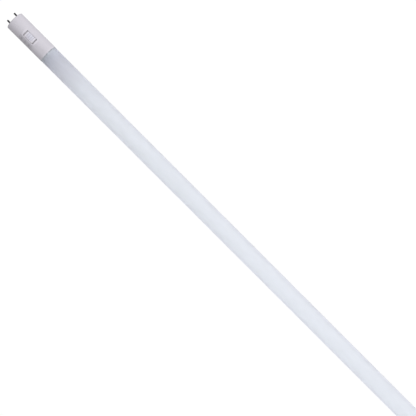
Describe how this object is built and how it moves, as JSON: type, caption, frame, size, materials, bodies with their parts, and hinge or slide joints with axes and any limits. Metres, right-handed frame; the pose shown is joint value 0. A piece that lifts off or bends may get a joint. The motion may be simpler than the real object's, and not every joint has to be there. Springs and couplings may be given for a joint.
{
  "type": "led tube lamp",
  "caption": "Straight LED tube lamp: frosted round tube between long bi-pin end caps, one cap with a small slide selector in its side.",
  "frame": {"origin": "middle of the tube, on its axis", "axes": "+X along the tube from the selector's cap to the plain cap, +Z the way the light leaves and the selector faces, the contact pins side by side along Y"},
  "size_m": [1.2122, 0.026, 0.0265],
  "materials": {
    "opal_plastic": "frosted, milky white",
    "cap_plastic": "moulded, satin warm grey white",
    "selector_plastic": "moulded, satin cool white",
    "pin_metal": "dull dark plating",
    "led_board_white": "white solder mask on a metal-core board",
    "warm_phosphor": "white case, amber phosphor",
    "cool_phosphor": "white case, yellow phosphor",
    "adhesive": "cured silicone",
    "driver_board_green": "green solder mask",
    "black_moulding": "moulded package",
    "ferrite": "sintered ferrite",
    "copper": "enamelled wire",
    "winding_tape": "polyester tape",
    "film_coating": "dipped coating",
    "varistor_coating": "dipped coating",
    "can_sleeve": "shrink sleeve",
    "fuse_coating": "painted body",
    "switch_sheet": "stamped sheet",
    "chip_ceramic": "chip body",
    "lead_red": "insulated lead",
    "lead_black": "insulated lead",
    "lead_white": "insulated lead"
  },
  "bodies": {
    "lamp": {"diffuser_tube": "opal_plastic", "led_board": "led_board_white", "warm_leds": "warm_phosphor", "cool_leds": "cool_phosphor", "selector_cap": "cap_plastic", "plain_cap": "cap_plastic", "selector_cap_adhesive": "adhesive", "plain_cap_adhesive": "adhesive", "selector_cap_pin_left": "pin_metal", "selector_cap_pin_right": "pin_metal", "plain_cap_pin_left": "pin_metal", "plain_cap_pin_right": "pin_metal", "switch_base": "black_moulding", "switch_cover": "switch_sheet", "driver_board": "driver_board_green", "fuse_resistor": "fuse_coating", "varistor": "varistor_coating", "film_capacitor": "film_coating", "choke_core": "ferrite", "choke_winding": "copper", "bulk_capacitor": "can_sleeve", "output_capacitor": "can_sleeve", "transformer_core": "ferrite", "transformer_bobbin": "black_moulding", "transformer_winding": "winding_tape", "rectifier": "black_moulding", "control_chip": "black_moulding", "output_diode": "black_moulding", "chip_resistors": "chip_ceramic", "pin_lead_left": "lead_red", "pin_lead_right": "lead_black", "led_lead_common": "lead_red", "led_lead_warm": "lead_white", "led_lead_cool": "lead_black", "far_lead_left": "lead_red", "far_lead_right": "lead_black"},
    "selector": {"selector_slider": "selector_plastic", "switch_carriage": "black_moulding"}
  },
  "joints": [
    {"name": "selector_slide", "type": "slide", "parent": "lamp", "child": "selector", "axis": [1, 0, 0], "range_m": [-0.0014, 0.0014]}
  ]
}
